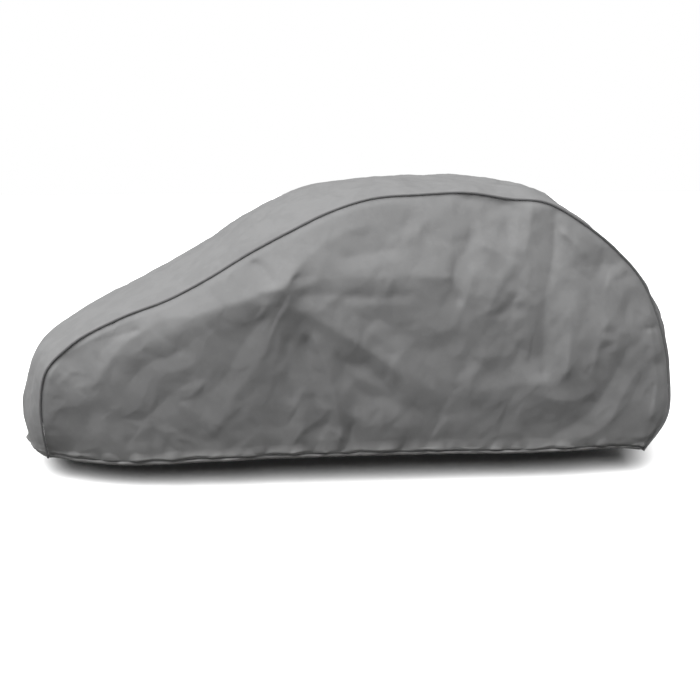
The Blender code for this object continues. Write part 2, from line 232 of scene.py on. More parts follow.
# Crease lines: the points (x, height) that each runs through, and how far the cloth
# stands out, or below zero sinks in, at its two ends. Between them it is drawn taut.
leftCreases = [
    ("shoulder", [(-0.35, 1.07), (-0.41, 1.06), (-0.46, 1.04), (-0.53, 1.01), (-0.64, 0.98),
                  (-0.72, 0.95), (-0.80, 0.93), (-0.88, 0.92)], 0.026, 0.025),
    ("shoulderNose", [(-0.88, 0.92), (-0.95, 0.90), (-1.00, 0.87), (-1.10, 0.81), (-1.21, 0.69),
                      (-1.29, 0.56)], 0.025, 0.020),
    ("shoulderHollow", [(-0.84, 0.75), (-0.99, 0.70), (-1.10, 0.60)], -0.005, -0.005),
    ("shoulderFoot", [(-1.27, 0.58), (-1.38, 0.46)], 0.014, 0.011),
    ("noseEdge", [(-1.38, 0.46), (-1.45, 0.55), (-1.52, 0.65)], 0.011, 0.005),
    ("noseCrown", [(-1.42, 0.69), (-1.35, 0.75), (-1.26, 0.80), (-1.15, 0.83), (-1.04, 0.85)], 0.002, 0.004),
    ("noseLow", [(-1.52, 0.36), (-1.40, 0.34), (-1.22, 0.29)], 0.003, 0.004),
    ("frontLow", [(-1.16, 0.44), (-1.01, 0.40), (-0.88, 0.43)], 0.003, 0.004),
    ("frontFleckBack", [(-1.00, 0.35), (-0.98, 0.27)], -0.004, -0.004),
    ("frontFleck", [(-0.95, 0.36), (-0.92, 0.30), (-0.87, 0.25)], 0.006, 0.006),
    ("frontPleat", [(-0.84, 0.34), (-0.79, 0.23)], -0.009, -0.009),
    ("peakNotch", [(-0.49, 1.18), (-0.43, 1.14), (-0.38, 1.09)], -0.013, -0.010),
    ("peakFacet", [(-0.55, 1.12), (-0.46, 1.09), (-0.39, 1.07)], 0.006, 0.005),
    ("peakLight", [(-0.50, 1.21), (-0.44, 1.20), (-0.40, 1.18)], 0.004, 0.005),
    ("peakFall", [(-0.33, 1.08), (-0.27, 1.16), (-0.20, 1.22), (-0.14, 1.27)], 0.024, 0.022),
    ("peakFallHigh", [(-0.14, 1.27), (-0.04, 1.32), (0.09, 1.36)], 0.020, 0.012),
    ("beltStart", [(-0.29, 1.11), (-0.17, 1.11), (-0.04, 1.11)], 0.000, 0.006),
    ("belt", [(-0.04, 1.11), (0.10, 1.11), (0.29, 1.11), (0.49, 1.10)], 0.009, 0.008),
    ("beltTrough", [(-0.25, 1.03), (-0.11, 1.03), (0.06, 1.01), (0.30, 1.02)], -0.008, -0.002),
    ("ledge", [(0.00, 0.98), (0.16, 0.97), (0.30, 0.97)], 0.002, 0.004),
    ("doorLightTop", [(-0.02, 1.20), (0.08, 1.22), (0.22, 1.24)], -0.005, -0.006),
    ("doorLight", [(-0.04, 1.13), (0.10, 1.15), (0.23, 1.18)], 0.008, 0.008),
    ("shelfStart", [(-0.27, 0.96), (-0.21, 0.93), (-0.13, 0.88), (-0.04, 0.83)], 0.010, 0.020),
    ("shelf", [(-0.04, 0.83), (0.08, 0.75), (0.18, 0.68), (0.26, 0.59), (0.31, 0.47)], 0.022, 0.015),
    ("shelfUnder", [(0.04, 0.68), (0.09, 0.64), (0.15, 0.58), (0.20, 0.51), (0.24, 0.42)], -0.002, -0.008),
    ("shelfFloor", [(0.01, 0.56), (0.06, 0.52), (0.12, 0.50)], -0.013, -0.012),
    ("longDropEdge", [(-0.19, 0.82), (-0.16, 0.73), (-0.12, 0.63), (-0.09, 0.52), (-0.07, 0.39),
                      (-0.06, 0.28)], 0.016, 0.022),
    ("longDropFoot", [(-0.23, 0.81), (-0.22, 0.70), (-0.20, 0.58), (-0.18, 0.45), (-0.16, 0.30)],
     -0.012, -0.005),
    ("longUnder", [(-0.07, 0.71), (-0.04, 0.63), (-0.01, 0.55), (0.02, 0.44)], -0.008, -0.008),
    ("leftRise", [(-0.38, 0.90), (-0.37, 0.79), (-0.40, 0.68)], 0.009, 0.006),
    ("leftTrough", [(-0.32, 0.81), (-0.32, 0.75), (-0.32, 0.68), (-0.30, 0.50)], -0.006, -0.010),
    ("forwardBack", [(-0.44, 0.92), (-0.52, 0.82), (-0.57, 0.75), (-0.61, 0.67), (-0.71, 0.53),
                     (-0.76, 0.41)], -0.006, -0.003),
    ("forwardEdge", [(-0.38, 0.88), (-0.42, 0.77), (-0.47, 0.69), (-0.53, 0.61), (-0.59, 0.52),
                     (-0.67, 0.36)], 0.009, 0.005),
    ("wingFoot", [(-0.45, 0.64), (-0.34, 0.65)], 0.003, 0.002),
    ("lowDropBack", [(-0.38, 0.58), (-0.35, 0.27)], -0.004, -0.004),
    ("lowDropEdge", [(-0.26, 0.54), (-0.25, 0.27)], 0.003, 0.005),
    ("pocketTop", [(0.12, 0.50), (0.16, 0.51), (0.20, 0.49)], -0.011, -0.009),
    ("pocketEdge", [(0.21, 0.50), (0.24, 0.41), (0.26, 0.30)], 0.008, 0.009),
    ("lowLightBack", [(0.00, 0.36), (-0.01, 0.28)], -0.005, -0.004),
    ("lowLightEdge", [(0.07, 0.39), (0.10, 0.27)], 0.005, 0.005),
    ("upperStreak", [(0.47, 1.39), (0.35, 1.33), (0.22, 1.29)], 0.007, 0.006),
    ("upperRise", [(0.52, 1.47), (0.53, 1.37), (0.51, 1.28)], 0.006, 0.006),
    ("upperBack", [(0.67, 1.25), (0.76, 1.22)], 0.014, 0.014),
    ("upperTrough", [(0.61, 1.54), (0.64, 1.40), (0.63, 1.29), (0.57, 1.21), (0.52, 1.14),
                     (0.52, 1.06), (0.54, 0.98)], -0.012, -0.014),
    ("upperEdge", [(0.87, 1.29), (0.82, 1.17), (0.75, 1.10), (0.71, 0.99), (0.68, 0.93)], 0.015, 0.012),
    ("dropEdge", [(0.62, 1.14), (0.59, 1.04), (0.55, 0.93), (0.50, 0.86), (0.44, 0.83),
                  (0.36, 0.83), (0.28, 0.85)], 0.010, 0.007),
    ("hookUnder", [(0.50, 0.76), (0.36, 0.74), (0.26, 0.77)], -0.001, -0.001),
    ("browBack", [(0.78, 1.51), (0.81, 1.39), (0.81, 1.28)], -0.008, -0.006),
    ("browRise", [(0.91, 1.47), (0.88, 1.37), (0.85, 1.22)], 0.014, 0.009),
    ("browEdge", [(0.95, 1.45), (0.92, 1.32), (0.90, 1.19), (0.89, 1.05)], 0.024, 0.010),
    ("browTroughHigh", [(1.08, 1.43), (1.07, 1.35), (1.06, 1.24)], -0.012, -0.020),
    ("browTrough", [(1.06, 1.24), (1.03, 1.13), (1.00, 1.03)], -0.020, -0.015),
    ("troughSide", [(0.92, 0.98), (0.92, 0.78), (0.92, 0.62)], -0.003, -0.004),
    ("rearRise", [(1.10, 1.31), (1.16, 1.26), (1.22, 1.19)], 0.024, 0.014),
    ("rearTrough", [(0.99, 1.03), (0.98, 0.83), (0.98, 0.60)], -0.015, -0.013),
    ("rearRidge", [(1.12, 1.05), (1.12, 0.93), (1.11, 0.77), (1.09, 0.60)], -0.002, 0.030),
    ("rearRidgeFoot", [(1.32, 0.97), (1.30, 0.82), (1.26, 0.71), (1.22, 0.60)], 0.008, 0.019),
    ("middleHollow", [(0.74, 0.91), (0.80, 0.95), (0.84, 1.01)], -0.007, -0.004),
    ("fleckHigh", [(0.81, 0.97), (0.88, 0.99)], 0.003, 0.004),
    ("fleckMiddle", [(0.82, 0.89), (0.88, 0.90)], 0.004, 0.004),
    ("fleckHollow", [(0.76, 0.80), (0.85, 0.82)], -0.002, -0.002),
    ("fleckLow", [(0.86, 0.81), (0.81, 0.73)], 0.003, 0.003),
    ("fleckRearBack", [(0.85, 0.75), (0.84, 0.69)], -0.003, -0.003),
    ("fleckRear", [(0.91, 0.80), (0.89, 0.69)], 0.002, 0.002),
    ("middleEdge", [(0.30, 0.67), (0.42, 0.61), (0.55, 0.56), (0.73, 0.53), (0.83, 0.56),
                    (1.00, 0.55)], 0.005, 0.010),
    ("middleUnder", [(0.45, 0.41), (0.66, 0.35), (0.87, 0.33), (1.00, 0.35)], -0.005, -0.005),
    ("lowHollow", [(0.59, 0.26), (0.77, 0.25), (0.91, 0.26)], -0.007, -0.006),
    ("tailSweepLow", [(1.08, 0.22), (1.22, 0.26), (1.31, 0.30), (1.36, 0.36)], 0.006, 0.019),
    ("tailSweep", [(1.36, 0.36), (1.40, 0.44), (1.45, 0.52), (1.51, 0.63), (1.56, 0.71)], 0.019, 0.004),
    ("tailPlateau", [(1.49, 0.29), (1.57, 0.39), (1.60, 0.54)], 0.018, 0.012),
    ("tailSweepBack", [(0.99, 0.25), (1.10, 0.30), (1.22, 0.37), (1.28, 0.45), (1.34, 0.54),
                       (1.40, 0.64), (1.47, 0.73)], -0.004, -0.003),
    ("rearPocket", [(1.32, 0.81), (1.45, 0.79)], 0.006, 0.006),
    ("rearFleck", [(1.31, 1.21), (1.33, 1.13)], -0.007, -0.007),
    ("rearApron", [(1.04, 0.47), (1.15, 0.47), (1.23, 0.50)], 0.016, 0.013),
    ("tailHem", [(1.30, 0.24), (1.44, 0.24), (1.56, 0.24)], 0.020, 0.024),
    ("rearBulge", [(1.56, 0.90), (1.59, 0.73), (1.61, 0.51), (1.59, 0.34)], 0.012, 0.022),
    ("rearShoulder", [(1.21, 1.04), (1.35, 1.03), (1.47, 1.04), (1.56, 1.00)], 0.005, 0.005),
    ("rearLightBack", [(1.45, 0.95), (1.43, 0.87)], -0.004, -0.004),
    ("rearLight", [(1.48, 0.81), (1.61, 0.81)], 0.003, 0.003),
    ("rearDents", [(1.19, 0.95), (1.20, 0.88)], 0.010, 0.010),
    ("hook", [(1.39, 0.35), (1.50, 0.38), (1.58, 0.42)], 0.015, 0.014),
]


otherCreases = {
    "order": 211,
    "shift": 0.020,
    "shiftOfPoint": 0.008,
    "strength": (0.55, 1.15),
}


def otherSide(creases):  # creases like these, but none in quite the same place
    chance = np.random.default_rng(otherCreases["order"])
    lines = []
    for name, places, standFrom, standTo in creases:
        moved = np.array(places) + chance.normal(0.0, otherCreases["shift"], (1, 2))
        moved = moved + chance.normal(0.0, otherCreases["shiftOfPoint"], (len(places), 2))
        strength = chance.uniform(*otherCreases["strength"])
        lines.append((name, [tuple(place) for place in moved], standFrom * strength, standTo * strength))
    return lines


rightCreases = otherSide(leftCreases)


taut = {
    "cell": 0.008,
    "from": (-1.80, 0.06),
    "to": (1.88, 1.66),
    "hold": 0.006,
    "pathStep": 0.02,
    "leastSteps": 6,
    "margin": 0.03,
    "endShare": 0.15,
    "endFade": 0.08,
    "large": (16.0, 0.110, 700),  # grip, reach and rounds
    "small": (5.0, 0.040, 150),
}

smallCreases = {
    "count": 300,
    "from": (-1.55, 0.20),
    "to": (1.68, 1.45),
    "lengths": (0.04, 0.17),
    "stand": 0.0022,
    "endStand": (0.3, 1.0),
    "bend": 0.22,
    "pullPace": (1.1, 1.3),
    "pullTurn": 0.9,
    "scatter": 0.8,
    "busyPace": 2.3,
    "busyLeast": 0.6,
    "busyMore": 1.6,
    "order": 97,
}


def smallCreaseLines(side):  # short creases scattered over a side, mostly lying the way that it is pulled
    look = smallCreases
    chance = np.random.default_rng(look["order"] + (side > 0))
    lines = []
    for _ in range(look["count"]):
        middle = np.array([chance.uniform(low, high) for low, high in zip(look["from"], look["to"])])
        pull = noise.noise(Vector((*middle * look["pullPace"], layers["pull"] + side)))
        angle = math.pi * pull + look["pullTurn"] + chance.normal(0.0, look["scatter"])
        length = chance.uniform(*look["lengths"])
        way = np.array([math.cos(angle), math.sin(angle)])
        across = np.array([-way[1], way[0]]) * chance.normal(0.0, look["bend"]) * length
        busy = abs(noise.noise(Vector((*middle * look["busyPace"], layers["busy"] + side))))
        stand = look["stand"] * chance.normal() * (look["busyLeast"] + look["busyMore"] * busy)
        points = [tuple(middle - way * length / 2), tuple(middle + across), tuple(middle + way * length / 2)]
        lines.append(("small", points, stand, stand * chance.uniform(*look["endStand"])))
    return lines


def tautRelief(points, creases, grip, reach, rounds):  # a thin cloth drawn taut between its crease lines
    cell, margin = taut["cell"], taut["margin"]
    count = [int(round((high - low) / cell)) + 1 for low, high in zip(taut["from"], taut["to"])]
    rows = [low + cell * np.arange(number) for low, number in zip(taut["from"], count)]
    cells = np.stack(np.meshgrid(*rows, indexing="ij"), axis=2).reshape(-1, 2)
    hold, target = np.zeros(len(cells)), np.zeros(len(cells))
    for _, places, standFrom, standTo in creases:
        places = np.array(places)
        knots = np.concatenate([[0.0], np.cumsum(np.linalg.norm(np.diff(places, axis=0), axis=1))])
        steps = max(taut["leastSteps"], int(knots[-1] / taut["pathStep"]))
        path = smoothThrough(knots, places, np.linspace(0.0, knots[-1], steps + 1))
        low, high = path.min(axis=0) - margin, path.max(axis=0) + margin
        near = np.nonzero(((cells > low) & (cells < high)).all(axis=1))[0]
        gap, place, _ = nearestOnPath(cells[near], path)
        fromEnd = np.minimum(place, steps - place) / steps * knots[-1]
        fade = smoothStep(taut["endShare"] + fromEnd / min(taut["endFade"], 0.5 * knots[-1]))
        pull = grip * np.exp(-(gap / taut["hold"]) ** 2) * fade
        hold[near] += pull
        target[near] += pull * (standFrom + (standTo - standFrom) * place / steps)
    hold, target = hold.reshape(count), target.reshape(count)
    relief = np.zeros(count)
    slack = (cell / reach) ** 2
    for _ in range(rounds):
        relief = (aroundEach(np.pad(relief, 1)) + target) / (4 + slack + hold)
    relief = softened(relief, 1)
    at = (points - taut["from"]) / cell
    index = np.clip(at.astype(int), 0, np.array(count) - 2)
    share = at - index
    i, j, u, v = index[:, 0], index[:, 1], share[:, 0], share[:, 1]
    return ((1 - u) * (1 - v) * relief[i, j] + u * (1 - v) * relief[i + 1, j]
            + (1 - u) * v * relief[i, j + 1] + u * v * relief[i + 1, j + 1])


rumple = {  # for each size: spacing along, spacing up, how far the facets stand, their order
    "large": (0.220, 0.200, 0.0080, 11),
    "middle": (0.095, 0.110, 0.0050, 23),
    "small": (0.048, 0.052, 0.0021, 37),
    "rightOrder": 100,
    "scatter": 0.38,
    "swell": 0.008,
    "swellPace": (2.1, 2.4),
    "warp": 0.05,
    "warpPace": 5.0,
}


def facets(points, spacingAlong, spacingUp, height, order):
    low, high = points.min(axis=0) - 2 * spacingAlong, points.max(axis=0) + 2 * spacingAlong
    count = np.ceil((high - low) / (spacingAlong, spacingUp)).astype(int) + 1
    chance = np.random.default_rng(order)
    scatter = rumple["scatter"]
    along, up = np.meshgrid(np.arange(count[0]), np.arange(count[1]), indexing="ij")
    along = low[0] + (along + chance.uniform(-scatter, scatter, along.shape)) * spacingAlong
    up = low[1] + (up + chance.uniform(-scatter, scatter, up.shape)) * spacingUp
    stand = chance.uniform(-1.0, 1.0, along.shape) * height
    corners = np.stack([along, up, stand], axis=2).reshape(-1, 3).tolist()
    index = np.arange(count[0] * count[1]).reshape(count)
    triangles = []
    for a, b, c, d in zip(index[:-1, :-1].flat, index[1:, :-1].flat, index[1:, 1:].flat, index[:-1, 1:].flat):
        triangles += [(a, b, c), (a, c, d)] if chance.random() < 0.5 else [(a, b, d), (b, c, d)]
    triangles = [tuple(int(corner) for corner in triangle) for triangle in triangles]
    tree = BVHTree.FromPolygons(corners, triangles)
    down = Vector((0.0, 0.0, -1.0))
    return np.array([tree.ray_cast(Vector((x, y, 1.0)), down)[0].z for x, y in points.tolist()])


def rumpled(points, shape, side):
    large, middle, small = rumple["large"], rumple["middle"], rumple["small"]
    shift = 0 if side < 0 else rumple["rightOrder"]
    swell = uneven(*(points * rumple["swellPace"]).T, layers["swell"] + side)
    warp = uneven(*(points * rumple["warpPace"]).T, layers["warp"] + side)
    bent = points + rumple["warp"] * np.stack([warp, -warp], axis=1)
    rough = facets(bent, *large[:3], large[3] + shift) + facets(bent, *middle[:3], middle[3] + shift)
    fine = facets(bent, *small[:3], small[3] + shift)
    rough = softened(rough.reshape(shape), 1) + softened(fine.reshape(shape), 1)
    return rough.reshape(-1) + rumple["swell"] * swell


puckers = {  # the gathers beside a seam, strongest in groups
    "length": 0.042,
    "pace": 9.0,
    "stand": 0.0022,
    "reach": 0.055,
    "groupPace": 2.2,
    "least": 0.6,
    "groupMore": 1.3,
    "ease": 0.012,
    "seamDip": 0.003,
    "seamDipAt": 0.018,
}


def seamPucker(places, depth, layer):
    wave = uneven(places / puckers["length"], depth * puckers["pace"], layers["pucker"] + layer)
    group = uneven(places * puckers["groupPace"], 0.0, layers["puckerGroups"] + layer)
    strength = puckers["least"] + puckers["groupMore"] * np.clip(group, 0.0, 1.0)
    return puckers["stand"] * wave * strength * np.exp(-depth / puckers["reach"])


hemBand = {
    "finePace": 26.0,
    "broadPace": 7.0,
    "patchPace": 4.5,
    "roll": 0.0062,
    "rollTo": 0.020,
    "rollParts": (0.75, 1.5, 0.6),
    "groove": 0.0040,
    "grooveHalf": 0.003,
    "grooveParts": (0.8, 2.5),
    "grooveMost": 1.6,
    "secondRoll": 0.0050,
    "secondRollAt": 0.036,
    "secondRollHalf": 0.004,
    "secondRollWander": 0.012,
    "secondRollParts": (0.3, 4.0),
    "curl": 0.003,
    "curlFrom": 0.070,
    "puffs": 34,
    "puffStand": (0.003, 0.009),
    "puffHalfLength": (0.030, 0.090),
    "puffHeight": (0.025, 0.050),
    "puffLean": (-0.5, 0.5),
    "puffOrder": 137,
    "ease": 0.030,
}


def hemRelief(x, lift, layer):  # a roll, a groove above it, a broken second roll, and puffs of gathered cloth
    rollTo, curlFrom, puffs = hemBand["rollTo"], hemBand["curlFrom"], hemBand["puffs"]
    fine = uneven(x * hemBand["finePace"], 0.0, layers["hemFine"] + layer)
    broad = uneven(x * hemBand["broadPace"], 0.0, layers["hemBroad"] + layer)
    patches = uneven(x * hemBand["patchPace"], 0.0, layers["hemPatches"] + layer)
    even, finePart, broadPart = hemBand["rollParts"]
    roll = np.sin(np.pi * np.clip(lift / rollTo, 0.0, 1.0)) * (even + finePart * fine + broadPart * broad)
    even, broadPart = hemBand["grooveParts"]
    deep = np.clip(even + broadPart * broad, 0.0, hemBand["grooveMost"])
    groove = np.exp(-((lift - rollTo) / hemBand["grooveHalf"]) ** 2) * deep
    even, patchPart = hemBand["secondRollParts"]
    above = lift - hemBand["secondRollAt"] - hemBand["secondRollWander"] * broad
    second = np.exp(-(above / hemBand["secondRollHalf"]) ** 2) * smoothStep(even + patchPart * patches)
    stand = hemBand["roll"] * roll - hemBand["groove"] * groove + hemBand["secondRoll"] * second
    stand -= hemBand["curl"] * np.clip(1 - lift / curlFrom, 0.0, 1.0) ** 2
    chance = np.random.default_rng(hemBand["puffOrder"] + int(layer))
    for index in range(puffs):
        middle = x.min() + (x.max() - x.min()) * (index + chance.uniform(0.0, 1.0)) / puffs
        high, half = chance.uniform(*hemBand["puffStand"]), chance.uniform(*hemBand["puffHalfLength"])
        up = (lift - rollTo) / chance.uniform(*hemBand["puffHeight"])
        lean = chance.uniform(*hemBand["puffLean"]) * half
        inside = 1 - ((x - middle - lean * up) / half) ** 2 - np.clip(up, 0.0, None) ** 2
        stand += np.where(up > 0, high * np.sqrt(np.clip(inside, 0.0, 1.0)), 0.0)
    return stand


def sideSurface(seam, places, side, creases):
    plan, lift = sidePlan(seam)
    shape = plan.shape[:2]
    points, lift = plan.reshape(-1, 2), lift.reshape(-1)
    x, height = points.T
    depth, seamHalf, turn, place = nearestOnSeam(points, seam, places)
    tuck = np.clip((cover["hemTuckFrom"] - height) / cover["hemTuckFrom"], 0.0, 1.0) ** 2
    fromMiddle = (x - cover["middleAt"]) / cover["middleReach"]
    tuck *= cover["hemTuck"] + cover["middleTuck"] * np.exp(-(fromMiddle**2))
    lean = smoothStep((height - cover["upperLeanFrom"]) / (cover["upperLeanTo"] - cover["upperLeanFrom"]))
    body = cover["bodyHalfWidth"] - tuck - cover["upperLean"] * lean
    body = body - cover["endTaper"] * (x / cover["bodyHalfLength"]) ** 4
    body -= cover["noseTaper"] * smoothStep((cover["noseFrom"] - x) / (cover["noseFrom"] - cover["noseTo"]))
    body -= cover["rearTaper"] * smoothStep((x - cover["rearFrom"]) / (cover["rearTo"] - cover["rearFrom"]))
    soft = cover["turnSoftness"]
    slope = (np.sqrt((1 - depth / turn) ** 2 + soft**2) + 1 - depth / turn) / (np.sqrt(1 + soft**2) + 1)
    smooth = body - (body - seamHalf) * slope
    evened = softened(smooth.reshape(shape), cover["evenedPasses"]).reshape(-1)
    smooth += smoothStep((depth - cover["evenedFrom"]) / cover["evenedOver"]) * (evened - smooth)
    fromPeak = np.hypot(x - cover["peakX"], height - cover["peakHeight"]) / cover["peakReach"]
    stand = cover["peakStand"] / (1 + fromPeak**2) + tautRelief(points, creases, *taut["large"])
    stand += tautRelief(points, smallCreaseLines(side), *taut["small"])
    ease = smoothStep(depth / cover["foldEase"])
    stand = ease * (stand + rumpled(points, shape, side))
    stand = stand + seamPucker(place, depth, side) * smoothStep(depth / puckers["ease"])
    dip = depth / puckers["seamDipAt"]
    stand -= puckers["seamDip"] * dip * np.exp(1 - dip)
    width = smooth + stand + smoothStep(depth / hemBand["ease"]) * hemRelief(x, lift, side)
    return np.stack([x, side * width, height], axis=1).reshape(*shape, 3)


topPanelLook = {  # its facets are stated as in rumple
    "crownPower": 2.4,
    "large": (0.300, 0.220, 0.0045, 53),
    "middle": (0.120, 0.090, 0.0075, 59),
    "small": (0.052, 0.040, 0.0040, 67),
    "swell": 0.003,
    "swellPace": (2.0, 2.6),
    "ease": 0.05,
    "puckerLayer": 4,
    "hemLayer": 2,
}


def topSurface(seam, places):
    t = np.linspace(-1.0, 1.0, grid["across"] + 1)
    t = grid["edgeCrowding"] * np.sin(t * np.pi / 2) + (1 - grid["edgeCrowding"]) * t
    rise = 1 - np.abs(t) ** topPanelLook["crownPower"]
    along = unit(np.gradient(seam[:, [0, 2]], axis=0))
    out = np.stack([-along[:, 1], along[:, 0]], axis=1)
    y = seam[:, 1, None] * t[None]
    cloth = np.stack([np.broadcast_to(places[:, None], y.shape), y], axis=2).reshape(-1, 2)
    rough = np.zeros(y.shape)
    for size in ("large", "middle", "small"):
        rough += softened(facets(cloth, *topPanelLook[size]).reshape(y.shape), 1)
    swell = uneven(*(cloth * topPanelLook["swellPace"]).T, layers["topSwell"]).reshape(y.shape)
    inside = seam[:, 1, None] * (1 - np.abs(t[None]))
    pucker = seamPucker(cloth[:, 0], inside.reshape(-1), topPanelLook["puckerLayer"]).reshape(y.shape)
    pucker = pucker * smoothStep(inside / puckers["ease"])
    ease = smoothStep(inside / topPanelLook["ease"])
    stand = seam[:, 3, None] * rise[None] + ease * (rough + topPanelLook["swell"] * swell) + pucker
    end = np.minimum(places, places[-1] - places)[:, None]
    lift = np.broadcast_to(end, y.shape).reshape(-1)
    band = hemRelief(y.reshape(-1), lift, topPanelLook["hemLayer"]).reshape(y.shape)
    stand += smoothStep(inside / hemBand["ease"]) * band
    flat = seam[:, None, [0, 2]] + stand[..., None] * out[:, None]
    return np.stack([flat[..., 0], y, flat[..., 1]], axis=2)


piping = {
    "radius": 0.0065,
    "roundness": 4,
    "gap": 0.0004,
}


def seamLine(seam, side):
    return np.stack([seam[:, 0], side * seam[:, 1], seam[:, 2]], axis=1)


def drawnIn(edge, inner):  # sewn edges are drawn in square to the seam, to leave room for the piping
    along = unit(np.gradient(edge, axis=0))
    inward = inner - edge
    inward = unit(inward - (inward * along).sum(1)[:, None] * along)
    return edge + inward * (piping["radius"] + piping["gap"])


def clearSide(points, line):
    along, down = grid["along"], grid["down"]
    inner = np.concatenate([points[1, :down], points[:, -2], points[-2, ::-1][1:]])
    inner[down], inner[down + along] = points[1, -2], points[-2, -2]
    edge = drawnIn(line, inner)
    points[0, :] = edge[:down + 1]
    points[:, -1] = edge[down:down + along + 1]
    points[-1, ::-1] = edge[down + along:]
    return points


def clearTop(points, leftLine, rightLine):
    points[:, 0] = drawnIn(leftLine, points[:, 1].copy())
    points[:, -1] = drawnIn(rightLine, points[:, -2].copy())
    return points


def toFrame(points):
    return points - np.array([cover["heldAt"][0], 0.0, cover["heldAt"][1]])


def placed(name, data):
    piece = bpy.data.objects.new(name, data)
    bpy.context.scene.collection.objects.link(piece)
    return piece


def gridMesh(name, points, material, flip=False):
    lines, rows = points.shape[:2]
    corner = (np.arange(lines - 1)[:, None] * rows + np.arange(rows - 1)[None]).reshape(-1)
    faces = np.stack([corner, corner + rows, corner + rows + 1, corner + 1], axis=1)
    if flip:
        faces = faces[:, ::-1]
    mesh = bpy.data.meshes.new(name)
    mesh.from_pydata(toFrame(points).reshape(-1, 3).tolist(), [], faces.tolist())
    mesh.shade_smooth()
    mesh.materials.append(material)
    piece = placed(name, mesh)
    thicken = piece.modifiers.new("cloth", "SOLIDIFY")
    thicken.thickness = cover["clothThickness"]
    thicken.offset = -1.0
    return piece


def cordAlong(name, line, material):
    curve = bpy.data.curves.new(name, "CURVE")
    curve.dimensions = "3D"
    curve.bevel_depth = piping["radius"]
    curve.bevel_resolution = piping["roundness"]
    curve.use_fill_caps = True
    spline = curve.splines.new("POLY")
    spline.points.add(len(line) - 1)
    for point, place in zip(spline.points, toFrame(line)):
        point.co = (*place, 1.0)
    curve.materials.append(material)
    return placed(name, curve)


stitching = {
    "length": 0.0052,
    "pitch": 0.0080,
    "halfWidth": 0.00055,
    "halfHeight": 0.00045,
    "sunk": 0.0003,
    "wander": 0.0004,
    "order": 307,
    "profile": ((-0.50, 0.45, -0.6), (-0.30, 1.0, 0.7), (0.30, 1.0, 0.7), (0.50, 0.45, -0.6)),
    "insideCover": (0.0, 0.0, 0.75),
    "hemRow": 5,
    "nextRow": 3,
}


def spaced(line, inner, pitch):  # even places along a row, with the way along it and out of the cloth
    gaps = np.linalg.norm(np.diff(line, axis=0), axis=1)
    length = np.concatenate([[0.0], np.cumsum(gaps)])
    at = np.arange(pitch, length[-1] - pitch, pitch)
    place = np.stack([np.interp(at, length, line[:, axis]) for axis in range(3)], axis=1)
    inward = np.stack([np.interp(at, length, (inner - line)[:, axis]) for axis in range(3)], axis=1)
    along = unit(np.gradient(place, axis=0))
    out = unit(np.cross(along, inward))
    out *= np.sign(np.sum(out * (place - stitching["insideCover"]), axis=1))[:, None]
    return place, along, out


def stitchRows(name, rows, material):
    vertices, faces = [], []
    chance = np.random.default_rng(stitching["order"])
    half, high = stitching["halfWidth"], stitching["halfHeight"]
    for line, inner in rows:
        place, along, out = spaced(line, inner, stitching["pitch"])
        across = np.cross(along, out)
        aside = chance.normal(0.0, stitching["wander"], (len(place), 1))
        place = place + across * aside - out * stitching["sunk"]
        for here, ahead, up, beside in zip(place, along, out, across):
            first = len(vertices)
            for step, wide, rise in stitching["profile"]:
                middle = here + ahead * step * stitching["length"] + up * rise * high
                for side, top in ((-1, -1), (1, -1), (1, 1), (-1, 1)):
                    vertices.append(middle + beside * side * wide * half + up * top * wide * high)
            for start in range(first, first + 12, 4):
                for i in range(4):
                    after = (i + 1) % 4
                    faces.append((start + i, start + after, start + 4 + after, start + 4 + i))
            faces.append((first + 3, first + 2, first + 1, first))
            faces.append((first + 12, first + 13, first + 14, first + 15))
    mesh = bpy.data.meshes.new(name)
    mesh.from_pydata(toFrame(np.array(vertices)).tolist(), [], faces)
    mesh.shade_smooth()
    mesh.materials.append(material)
    piece = placed(name, mesh)
    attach(piece, "root")
    return piece


def sideRows(surface):  # each row of stitches, and a line further in from it
    down, hemRow, innerRow = grid["down"], stitching["hemRow"], stitching["hemRow"] + stitching["nextRow"]
    edge = np.concatenate([surface[1, 1:down - 1], surface[1:-1, -2], surface[-2, ::-1][2:-1]])
    inner = np.concatenate([surface[3, 1:down - 1], surface[1:-1, -4], surface[-4, ::-1][2:-1]])
    return [(edge, inner), (surface[2:-2, hemRow], surface[2:-2, innerRow])]


def topRows(surface):
    hemRow, innerRow = stitching["hemRow"], stitching["hemRow"] + stitching["nextRow"]
    rows = [(surface[1:-1, near], surface[1:-1, far]) for near, far in ((1, 3), (-2, -4))]
    hems = ((hemRow, innerRow), (-1 - hemRow, -1 - innerRow))
    return rows + [(surface[near, 2:-2], surface[far, 2:-2]) for near, far in hems]


class Socket:
    def __init__(self, tree, output):
        self.tree, self.output = tree, output

    def math(self, operation, other=None, reverse=False):
        node = self.tree.nodes.new("ShaderNodeMath")
        node.operation = operation
        values = [other, self] if reverse else [self, other]
        for slot, value in zip(node.inputs, values):
            if isinstance(value, Socket):
                self.tree.links.new(value.output, slot)
            elif value is not None:
                slot.default_value = value
        return Socket(self.tree, node.outputs[0])

    def __add__(self, other):
        return self.math("ADD", other)

    __radd__ = __add__

    def __mul__(self, other):
        return self.math("MULTIPLY", other)

    __rmul__ = __mul__

    def __sub__(self, other):
        return self.math("SUBTRACT", other)

    def __rsub__(self, other):
        return self.math("SUBTRACT", other, True)


class Nodes:
    def __init__(self, tree):
        self.tree = tree

    def node(self, kind, settings=None, sockets=None, output=0):
        node = self.tree.nodes.new(kind)
        for key, value in (settings or {}).items():
            setattr(node, key, value)
        for key, value in (sockets or {}).items():
            self.feed(node.inputs[key], value)
        return None if output is None else Socket(self.tree, node.outputs[output])

    def feed(self, slot, value):
        if isinstance(value, Socket):
            self.tree.links.new(value.output, slot)
        else:
            slot.default_value = value


